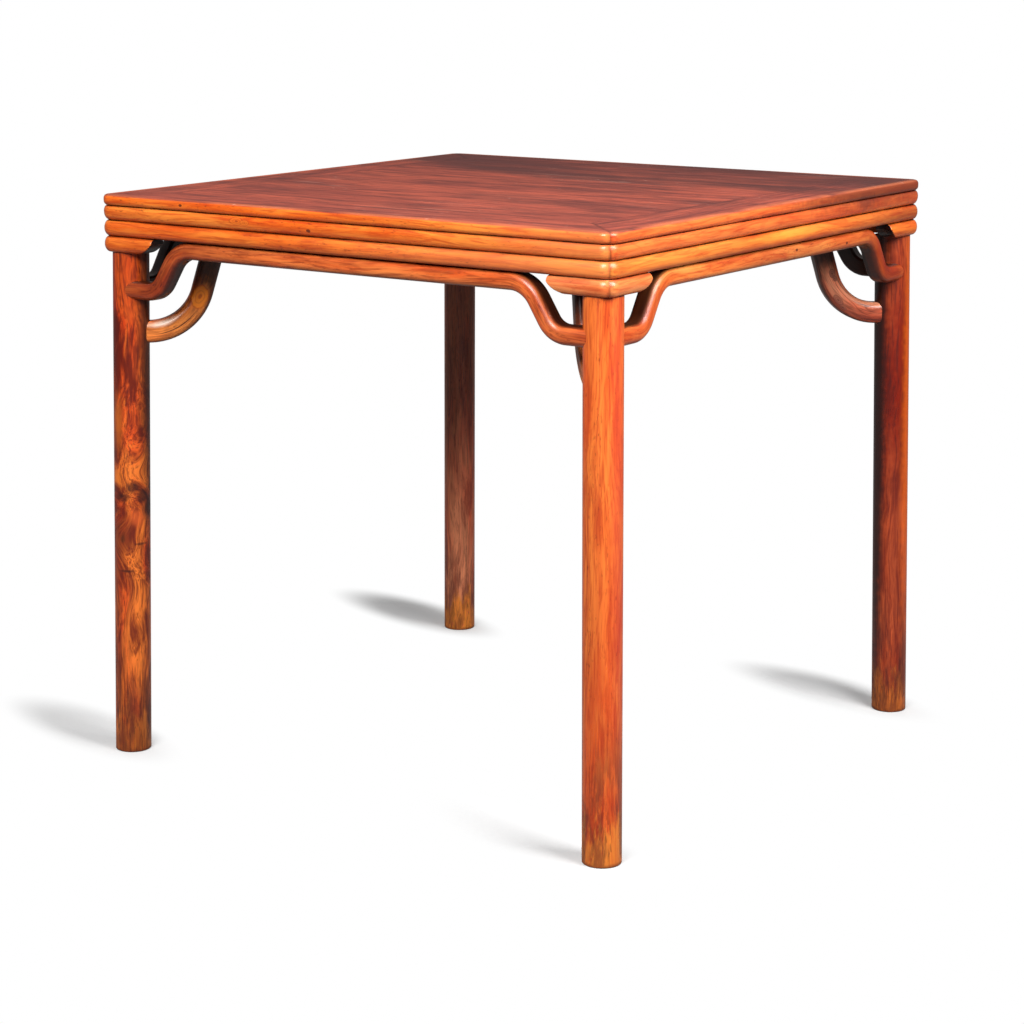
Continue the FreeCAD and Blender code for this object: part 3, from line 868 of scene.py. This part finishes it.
@dataclass(frozen=True)
class BeadStack:
    """The rounded slab that every bead of the table's edge is cut from."""

    corner_radius: float = 0.021
    corner_steps: int = 10
    round_steps: int = 7
    weld: float = 1e-5

    def slab(self, low: float, high: float, over: float, under: float, fullness: float) -> BMesh:
        """Make a slab of the table's outline with rounded upper and lower rims.

        Args:
            low: The level of its underside.
            high: The level of its upper face.
            over: The radius of the upper rim.
            under: The radius of the lower rim.
            fullness: How far the rounds are drawn out in height, so that the bead swells over its face.

        Returns:
            The slab.
        """
        bm = bmesh.new()
        base = Matrix.Translation((0, 0, low))
        bmesh.ops.create_grid(bm, x_segments=1, y_segments=1, size=HALF, matrix=base)
        ease(bm, bm.verts[:], self.corner_radius, self.corner_steps, "VERTICES")
        squat = (high - low) / fullness
        draw_out(bm, bm.faces[:], Vector((0, 0, squat)))
        for level, radius in ((low + squat, over), (low, under)):
            ease(bm, at_level(bm.edges, level), radius, self.round_steps)
        bmesh.ops.scale(bm, vec=(1, 1, fullness), space=Matrix.Translation((0, 0, -low)), verts=bm.verts[:])
        return bm

    def stack(self, lower: BMesh, upper: BMesh, level: float) -> BMesh:
        """Join two slabs that meet at a level into one closed shape.

        Args:
            lower: The lower slab, which becomes the joined shape.
            upper: The upper slab, which is freed.
            level: The level where they meet.

        Returns:
            The joined shape.
        """
        carried = bpy.data.meshes.new("upper_bead")
        upper.to_mesh(carried)
        upper.free()
        lower.from_mesh(carried)
        bpy.data.meshes.remove(carried)
        bmesh.ops.delete(lower, geom=at_level(lower.faces, level), context="FACES_ONLY")
        bmesh.ops.remove_doubles(lower, verts=lower.verts[:], dist=self.weld)
        return lower

    def mitre(self, bm: BMesh, depth: float, ends: tuple[int, ...]) -> None:
        """Keep the front bar of a slab, with its ends cut on the corners' diagonals.

        Args:
            bm: The slab.
            depth: How deep the bar is from its outer face.
            ends: The ends that are mitred, -1 for the low end and 1 for the high end.
        """
        slice_off(bm, Vector((0, depth - HALF, 0)), Vector((0, 1, 0)))
        for end in ends:
            slice_off(bm, Vector((0, 0, 0)), Vector((end, 1, 0)).normalized())


@dataclass
class TopFrame:
    """The four mitred rails with two beads on their outer edge."""

    groups: WoodGroups
    beads: BeadStack = BeadStack()
    rail_width: float = 0.088
    top_round: float = 0.005
    groove_round: float = 0.0055
    bead_round: float = 0.008
    lower_fullness: float = 1.6
    upper_fullness: float = 1.2

    def build(self, side: Side) -> BMesh:
        """Shape one rail.

        Args:
            side: The side it lies on.

        Returns:
            The rail's shape.
        """
        lower = self.beads.slab(Z_FRAME, Z_GROOVE, self.groove_round, self.bead_round, self.lower_fullness)
        upper = self.beads.slab(Z_GROOVE, TOP, self.top_round, self.groove_round, self.upper_fullness)
        bm = self.beads.stack(lower, upper, Z_GROOVE)
        self.beads.mitre(bm, self.rail_width, (-1, 1))
        return turned(bm, side.turn)

    def dress(self) -> None:
        """Build the rails and give each its finish."""
        for seed, side in enumerate(Side, start=1):
            node = side.label + ("_long_rail" if side.long else "_end_rail")
            coat = TimberCoat(node + "_rosewood", EDGE_ORANGE if side.long else EDGE_RED, side.grain, seed,
                              Z_GROOVE, Z_FRAME, 1.0, TOP_BROWN, marks=RAIL_MARKS.get(side, ()))
            shown(self.build(side), node, coat.material(self.groups))


@dataclass
class Panel:
    """The floating panel's boards, which keep their solids."""

    groups: WoodGroups
    boards: tuple[str, ...] = ("front", "middle", "back")
    underside: float = 0.8485

    def dress(self) -> None:
        """Give each board its finish: a worn upper face and an underside painted near black as shade."""
        for seed, board in enumerate(self.boards, start=11):
            node = "panel_board_" + board
            coat = TimberCoat(node + "_rosewood", TOP_BROWN, Grain.ALONG_X, seed, top_wood=TOP_BROWN,
                              under=self.underside)
            repaint(node, coat.material(self.groups))


@dataclass
class EdgeStrips:
    """The strips stacked under the rails, the third bead."""

    groups: WoodGroups
    beads: BeadStack = BeadStack()
    depth: float = 0.028
    bead_round: float = 0.008
    fullness: float = 1.45

    def build(self, side: Side) -> BMesh:
        """Shape one strip.

        Args:
            side: The side it lies on.

        Returns:
            The strip's shape.
        """
        bm = self.beads.slab(Z_STRIP, Z_FRAME, self.bead_round, self.bead_round, self.fullness)
        self.beads.mitre(bm, self.depth, (-1, 1))
        return turned(bm, side.turn)

    def dress(self) -> None:
        """Build the strips and give each its finish."""
        for seed, side in enumerate(Side, start=21):
            node = "edge_strip_" + side.label
            coat = TimberCoat(node + "_rosewood", STRIP_ORANGE if side.long else STRIP_GOLD, side.grain, seed,
                              Z_FRAME, Z_STRIP, 1.0, marks=STRIP_MARKS.get(side, ()))
            shown(self.build(side), node, coat.material(self.groups))


@dataclass
class CornerCaps:
    """The mitred caps that wrap the legs' heads, the fourth bead, two halves to a corner."""

    groups: WoodGroups
    beads: BeadStack = BeadStack()
    depth: float = 0.028
    reach: float = 0.104
    bead_round: float = 0.008
    fullness: float = 1.45
    end_straight: float = 0.008
    end_run: float = 0.032
    end_bulge: float = 0.004
    end_steps: int = 9
    end_ease: float = 0.002
    ease_steps: int = 3
    ease_from: float = math.radians(40)
    cut_square: float = 0.02
    cut_tilt: float = 0.2

    def build(self, side: Side, end: int) -> BMesh:
        """Shape one half cap with its curved end.

        Args:
            side: The side it lies on.
            end: -1 for the low end of the side's drawing, 1 for the high end.

        Returns:
            The half cap's shape.
        """
        bm = self.beads.slab(Z_CAP, Z_STRIP, self.bead_round, self.bead_round, self.fullness)
        self.beads.mitre(bm, self.depth, (1,))
        limit = HALF - self.reach + self.end_run
        tip = Vector((HALF - self.reach, 0, Z_STRIP - self.end_straight))
        heel = Vector((limit, 0, Z_CAP))
        slice_off(bm, tip, Vector((-1, 0, 0)))
        chord = heel - tip
        radius = chord.length_squared / (8 * self.end_bulge) + self.end_bulge / 2
        outward = Vector((chord.z, 0, -chord.x)).normalized()
        hub = (tip + heel) / 2 - outward * (radius - self.end_bulge)
        half_sweep = math.asin(chord.length / 2 / radius)
        for step in range(self.end_steps):
            angle = half_sweep * ((2 * step + 1) / self.end_steps - 1)
            normal = Matrix.Rotation(angle, 3, "Y") @ outward
            slice_off(bm, hub + normal * radius, normal)
        for face in bm.faces:
            cut = abs(face.normal.y) < self.cut_square and face.normal.x < -self.cut_tilt
            face.material_index = 1 if cut and face.calc_center_median().x < limit else 0
        self.ease_end(bm, limit)
        if end < 0:
            bmesh.ops.scale(bm, vec=(-1, 1, 1), verts=bm.verts[:])
        return turned(bm, side.turn)

    def ease_end(self, bm: BMesh, limit: float) -> None:
        """Take the sharp arris off the curved end.

        Args:
            bm: The half cap, drawn on the front side at the high end.
            limit: The end of the curve along X.
        """
        sharp = []
        for edge in bm.edges:
            near = all(vert.co.x < limit and vert.co.y < self.depth / 2 - HALF for vert in edge.verts)
            if near and edge.is_manifold and edge.calc_face_angle() > self.ease_from:
                sharp.append(edge)
        ease(bm, sharp, self.end_ease, self.ease_steps)

    def dress(self) -> None:
        """Build the half caps and give each its finish, with the curved end faces near black: end grain
        darkened by painted shade.
        """
        ends = TimberCoat("cap_end_grain", END_GRAIN_AND_SHADE, Grain.UPRIGHT, 30).material(self.groups)
        for seed, side in enumerate(Side, start=31):
            for end, end_label in zip((-1, 1), side.end_labels):
                node = "corner_cap_" + side.label + "_" + end_label
                # The caps at the front right corner get the paler wood, a painted sheen
                wood = CAP_SHEEN_ORANGE if {side.label, end_label} == {"front", "right"} else STRIP_ORANGE
                coat = TimberCoat(node + "_rosewood", wood, side.grain, seed * 2 + end, Z_STRIP, mitre=1.0)
                piece = shown(self.build(side, end), node, coat.material(self.groups))
                piece.data.materials.append(ends)


@dataclass
class Legs:
    """The four round legs, splayed both ways, with a square neck on each."""

    groups: WoodGroups
    neck_width: float = 0.036
    foot_ease: float = 0.0022
    foot_steps: int = 3
    sides: int = 72
    burl_at: float = 0.40

    def build(self, corner: Corner) -> BMesh:
        """Shape one leg.

        Args:
            corner: The corner it stands at.

        Returns:
            The leg's shape.
        """
        bm = bmesh.new()
        bmesh.ops.create_cone(bm, cap_ends=True, segments=self.sides, radius1=LEG_RADIUS, radius2=LEG_RADIUS,
                              depth=Z_CAP, matrix=Matrix.Translation((0, 0, Z_CAP / 2)))
        ease(bm, at_level(bm.edges, 0.0), self.foot_ease, self.foot_steps)
        lean = Matrix.Identity(4)
        for axis, sign in enumerate(corner.value):
            lean[axis][2] = -sign * LEG_SPLAY / Z_CAP
            lean[axis][3] = sign * (LEG_AT + LEG_SPLAY)
        turned(bm, lean)
        head = at_level(bm.faces, Z_CAP)
        bmesh.ops.inset_region(bm, faces=head, thickness=LEG_RADIUS - self.neck_width / 2, depth=0.0)
        draw_out(bm, head, Vector((0, 0, Z_FRAME - Z_CAP)))
        return bm

    def dress(self) -> None:
        """Build the legs and give each its finish."""
        # Each leg's wood, how far its foot is worn bare, and the level of its burl
        looks = {
            Corner.FRONT_LEFT: (LEG_FLAME, 0.35, self.burl_at),
            Corner.FRONT_RIGHT: (LEG_ORANGE, 0.8, 0.0),
            Corner.BACK_RIGHT: (LEG_RED, 0.45, 0.0),
            Corner.BACK_LEFT: (LEG_DARK, 1.0, 0.0),
        }
        for seed, corner in enumerate(Corner, start=41):
            node = "leg_" + corner.label
            wood, worn, burl = looks[corner]
            coat = TimberCoat(node + "_rosewood", wood, Grain.UPRIGHT, seed, Z_CAP, worn_foot=worn, burl=burl,
                              marks=LEG_MARKS[corner])
            shown(self.build(corner), node, coat.material(self.groups))


class BentBar:
    """A bar drawn by drawing out its end face along straight runs and bends in the XZ plane.

    Each vertex keeps its place along the bar and across it, so that the grain can follow the bends.
    """

    RUN = "run"
    ROUND_STEPS = 7

    def __init__(self, width: float, start: Vector, rounds: dict[int, float]) -> None:
        """Start the bar with its square end face, its arrises rounded.

        Args:
            width: The bar's width and height.
            start: The middle of the end face.
            rounds: The radius of the arrises on the -Y and the +Y side.
        """
        self.bm = bmesh.new()
        self.spot = start.copy()
        self.slope = 0.0
        square = Matrix.Translation(start) @ Matrix.Rotation(math.radians(90), 4, "Y")
        bmesh.ops.create_grid(self.bm, x_segments=1, y_segments=1, size=width / 2, matrix=square)
        for way, radius in rounds.items():
            arrises = [vert for vert in self.bm.verts if abs(vert.co.y - start.y - way * width / 2) < NEAR]
            ease(self.bm, arrises, radius, self.ROUND_STEPS, "VERTICES")
        self.run = self.bm.verts.layers.float_vector.new(self.RUN)
        for vert in self.bm.verts:
            vert[self.run] = vert.co - start
        self.end = self.bm.faces[:][0]

    @property
    def way(self) -> Vector:
        """The way the bar runs at its end."""
        return Vector((math.cos(self.slope), 0, math.sin(self.slope)))

    def straight(self, length: float) -> None:
        """Draw the end face out along a straight run.

        Args:
            length: The run's length.
        """
        self.end = draw_out(self.bm, [self.end], self.way * length)
        self.lengthen(length)
        self.spot += self.way * length

    def lengthen(self, length: float) -> None:
        """Add a length to the run of the end face's vertices."""
        for vert in self.end.verts:
            vert[self.run] = vert[self.run] + Vector((length, 0, 0))

    def bend(self, radius: float, degrees: float, steps: int) -> None:
        """Draw the end face out round a bend.

        Args:
            radius: The radius of the bar's middle line.
            degrees: The angle turned, upward if it is positive.
            steps: The number of facets round the bend.
        """
        angle = math.radians(degrees)
        rise = Vector((-math.sin(self.slope), 0, math.cos(self.slope)))
        hub = self.spot + rise * math.copysign(radius, angle)
        for _ in range(steps):
            ring = [self.end] + self.end.edges[:] + self.end.verts[:]
            drawn = bmesh.ops.spin(self.bm, geom=ring, cent=hub, axis=(0, -1, 0), dvec=(0, 0, 0),
                                   angle=angle / steps, steps=1, use_merge=False, use_duplicate=False)
            self.end = next(part for part in drawn["geom_last"] if isinstance(part, bmesh.types.BMFace))
            self.lengthen(radius * abs(angle) / steps)
        self.spot = hub + Matrix.Rotation(-angle, 3, "Y") @ (self.spot - hub)
        self.slope += angle


@dataclass
class Stretchers:
    """The hump-backed stretchers, low at the legs and high under the edge strips."""

    groups: WoodGroups
    size: float = 0.027
    outer_round: float = 0.0112
    inner_round: float = 0.004
    offset: float = 0.0125
    rise: float = 0.067
    shoulder: float = 0.110
    angle: float = 58.0
    upper_radius: float = 0.050
    upper_steps: int = 16
    lower_radius: float = 0.036
    lower_steps: int = 14
    bury: float = 0.008

    def build(self, side: Side) -> BMesh:
        """Shape one stretcher.

        Args:
            side: The side it lies on.

        Returns:
            The stretcher's shape.
        """
        steep = math.radians(self.angle)
        low_set = self.lower_radius * math.tan(steep / 2)
        high_set = self.upper_radius * math.tan(steep / 2)
        high_at = LEG_AT - self.shoulder
        low_at = high_at + self.rise / math.tan(steep)
        slope_run = self.rise / math.sin(steep) - low_set - high_set
        end_at = LEG_AT - self.bury
        end_run = end_at - low_at - low_set
        top_run = 2 * (high_at - high_set)
        start = Vector((-end_at, -LEG_AT - self.offset, Z_STRIP - self.size / 2 - self.rise))
        bar = BentBar(self.size, start, {-1: self.outer_round, 1: self.inner_round})
        low_bend = (self.lower_radius, self.angle, self.lower_steps)
        high_bend = (self.upper_radius, -self.angle, self.upper_steps)
        bends = (low_bend, high_bend, high_bend, low_bend)
        for length, bend in zip((end_run, slope_run, top_run, slope_run), bends):
            bar.straight(length)
            bar.bend(*bend)
        bar.straight(end_run)
        return turned(bar.bm, side.turn)

    def dress(self) -> None:
        """Build the stretchers and give each its finish."""
        for seed, side in enumerate(Side, start=51):
            node = "stretcher_" + side.label
            wood = STRETCHER_GOLD if side is Side.RIGHT else STRETCHER_RED
            coat = TimberCoat(node + "_rosewood", wood, Grain.ALONG_RUN, seed, raw_inside=self.size / 2,
                              marks=STRETCHER_MARKS.get(side, ()))
            shown(self.build(side), node, coat.material(self.groups))


@dataclass
class Braces:
    """The curved braces from the legs up under the panel's battens."""

    groups: WoodGroups
    size: float = 0.033
    arris: float = 0.010
    foot_level: float = 0.655
    elbow: float = 0.088
    angle: float = 74.0
    top_angle: float = 15.0
    lower_radius: float = 0.082
    lower_steps: int = 20
    upper_radius: float = 0.060
    upper_steps: int = 16
    reach: float = 0.244
    bury: float = 0.012

    def build(self, corner: Corner) -> BMesh:
        """Shape one brace.

        Args:
            corner: The corner whose leg it springs from.

        Returns:
            The brace's shape.
        """
        steep = math.radians(self.angle)
        flat = math.radians(self.top_angle)
        drop = Z_FRAME - self.foot_level
        run = self.reach - self.elbow
        climb = (drop - run * math.tan(flat)) / (math.sin(steep) - math.cos(steep) * math.tan(flat))
        low_set = self.lower_radius * math.tan(steep / 2)
        high_set = self.upper_radius * math.tan((steep - flat) / 2)
        rest = (run - climb * math.cos(steep)) / math.cos(flat) - high_set
        bar = BentBar(self.size, Vector((self.bury, 0, self.foot_level)), {-1: self.arris, 1: self.arris})
        bar.straight(self.elbow - low_set - self.bury)
        bar.bend(self.lower_radius, self.angle, self.lower_steps)
        bar.straight(climb - low_set - high_set)
        bar.bend(self.upper_radius, self.top_angle - self.angle, self.upper_steps)
        bar.straight(rest + self.size)
        slice_off(bar.bm, Vector((0, 0, Z_FRAME)), Vector((0, 0, 1)))
        return turned(bar.bm, corner.inward)

    def dress(self) -> None:
        """Build the braces and give each its finish."""
        for seed, corner in enumerate(Corner, start=61):
            node = "brace_" + corner.label
            wood = BRACE_DARK if corner is Corner.BACK_RIGHT else BRACE_RED
            coat = TimberCoat(node + "_rosewood", wood, Grain.ALONG_RUN, seed,
                              marks=(BRACE_HEAD_SHADE, *BRACE_MARKS.get(corner, ())))
            shown(self.build(corner), node, coat.material(self.groups))


@dataclass
class HiddenJoinery:
    """The battens, loose tenons, pegs and wedges, which keep their solids."""

    groups: WoodGroups
    battens: tuple[str, ...] = ("batten_left", "batten_middle", "batten_right")
    small: tuple[str, ...] = ("strip_keys", "stretcher_keys", "cap_keys", "brace_pegs", "brace_wedges")

    def dress(self) -> None:
        """Give each its finish."""
        for seed, node in enumerate(self.battens, start=71):
            # The battens' wood is painted dark brown as shade
            coat = TimberCoat(node + "_rosewood", HIDDEN_SHADE_BROWN, Grain.ALONG_Y, seed)
            repaint(node, coat.material(self.groups))
        wood = TimberCoat("joinery_rosewood", BRACE_RED, Grain.UPRIGHT, 81).material(self.groups)
        for node in self.small:
            repaint(node, wood)


@dataclass(frozen=True)
class Softbox:
    """A soft lamp, and the light that it gives a surface facing it, where one shows a colour as written."""

    name: str
    at: Triple
    aim: Triple
    size: tuple[float, float]
    share: float
    glints: bool = True

    def hang(self) -> None:
        """Hang the lamp where it faces its aim."""
        way = Vector(self.aim) - Vector(self.at)
        data = bpy.data.lights.new(self.name, "AREA")
        data.shape = "RECTANGLE"
        data.size, data.size_y = self.size
        data.energy = self.share * (math.pi * way.length) ** 2
        lamp = placed(self.name, data)
        lamp.location = self.at
        lamp.rotation_euler = way.to_track_quat("-Z", "Y").to_euler()
        lamp.visible_camera = False
        lamp.visible_glossy = self.glints


@dataclass
class Studio:
    """The pale floor, soft lamps and the camera."""

    camera_at: Triple = (2.19906, -3.19743, 1.23337)
    yaw: float = 35.719
    pitch: float = 10.936
    roll: float = -0.130
    lens: float = 88.89
    sensor: float = 36.0
    shift: tuple[float, float] = (0.0423, -0.0801)
    sight: float = 60.0
    ambient: float = 0.035
    mirrored: float = 0.17
    floor_half: float = 14.0
    floor_dark: Screen = (70, 70, 70)
    floor_pale: Screen = (225, 225, 225)
    foot_at: float = LEG_AT + LEG_SPLAY
    shadow_turn: float = math.radians(14.0)
    shadow_shift: Triple = (0.13, 0.0, 0.0)
    shadow_reach: Triple = (0.25, 0.085, 1.0)
    shadow_full: float = 0.35
    lamps: tuple[Softbox, ...] = (
        Softbox("right_softbox", (1.90, -0.40, 1.95), (0.45, -0.36, 0.8), (1.1, 1.2), 1.9),
        Softbox("left_softbox", (0.55, -2.75, 2.60), (0.05, -0.45, 0.8), (1.3, 1.3), 1.4),
        Softbox("overhead_softbox", (0.2, -0.2, 3.4), (0.0, 0.0, 0.8), (1.8, 1.8), 0.05),
        Softbox("left_fill", (-2.7, 0.9, 2.7), (-0.4, 0.0, 0.7), (1.2, 1.0), 0.2, False),
        Softbox("back_fill", (-0.7, 2.9, 2.7), (0.0, 0.4, 0.7), (1.2, 1.0), 0.2, False),
    )

    def set_camera(self) -> None:
        """Stand the camera at the photograph's place."""
        data = bpy.data.cameras.new("table_camera")
        data.sensor_width = self.sensor
        data.lens = self.lens
        data.shift_x, data.shift_y = self.shift
        data.clip_end = self.sight
        camera = placed("table_camera", data)
        place = Matrix.Translation(self.camera_at)
        for degrees, axis in ((self.yaw, "Z"), (90.0 - self.pitch, "X"), (self.roll, "Z")):
            place = place @ Matrix.Rotation(math.radians(degrees), 4, axis)
        camera.matrix_world = place
        bpy.context.scene.camera = camera

    def seen(self, sheet: Sheet) -> Wire:
        """One for rays from the camera, less for reflections, nought for light falling on the table.

        Args:
            sheet: The sheet of the world or the floor.

        Returns:
            The mask.
        """
        path = sheet.node("LightPath")
        clear = path["Is Transmission Ray"].most(path["Is Glossy Ray"] * self.mirrored)
        return clear.most(path["Is Camera Ray"])

    def set_world(self) -> None:
        """Set an even dim light all round, seen as white."""
        world = bpy.data.worlds.new("studio")
        world.use_nodes = True
        bpy.context.scene.world = world
        sheet = Sheet(world.node_tree)
        light = self.seen(sheet) * (1.0 - self.ambient) + self.ambient
        sheet.fill(world.node_tree.nodes["Background"], Color=WHITE, Strength=light)

    def paper(self) -> bpy.types.Material:
        """Make the floor's material, which shows the feet's shadows and fades to white away from them.

        Returns:
            The material.
        """
        paper = bpy.data.materials.new("studio_paper")
        paper.use_nodes = True
        sheet = Sheet(paper.node_tree)
        shader = paper.node_tree.nodes["Principled BSDF"]
        seen = self.seen(sheet)
        tone = sheet.mix(seen, self.floor_dark, self.floor_pale)
        sheet.fill(shader, Base_Color=tone, Roughness=0.9, Specular_IOR_Level=0.0)
        here = sheet.node("TexCoord")["Object"]
        near = 0.0
        for corner in Corner:
            sx, sy = corner.value
            off = here - (sx * self.foot_at, sy * self.foot_at, 0.0)
            off = sheet.node("Mapping", Vector=off, Rotation=Euler((0.0, 0.0, self.shadow_turn)))["Vector"]
            off = ((off + self.shadow_shift) / self.shadow_reach).math("LENGTH")
            near = off.step(1.0, self.shadow_full).most(near)
        glow = sheet.node("Emission", Color=WHITE, Strength=1.0)["Emission"]
        blend = sheet.node("MixShader", (1.0 - near) * seen, Wire(sheet, shader.outputs[0]), glow)["Shader"]
        sheet.fill(paper.node_tree.nodes["Material Output"], Surface=blend)
        return paper

    def set_floor(self) -> None:
        """Lay the floor."""
        bm = bmesh.new()
        bmesh.ops.create_grid(bm, x_segments=4, y_segments=4, size=self.floor_half)
        mesh = bpy.data.meshes.new("studio_floor")
        bm.to_mesh(mesh)
        bm.free()
        mesh.materials.append(self.paper())
        floor = placed("studio_floor", mesh)

    def build(self) -> None:
        """Set the whole studio."""
        self.set_camera()
        self.set_world()
        self.set_floor()
        for lamp in self.lamps:
            lamp.hang()
        bpy.context.scene.view_settings.view_transform = "Standard"


def main() -> None:
    """Build the table and its studio, and report each piece."""
    logging.basicConfig(level=logging.INFO, format="%(name)s: %(message)s")
    groups = WoodGroups()
    for assembly in (TopFrame, Panel, EdgeStrips, CornerCaps, Legs, Stretchers, Braces, HiddenJoinery):
        assembly(groups).dress()
    Studio().build()


if __name__ == "__main__":
    main()
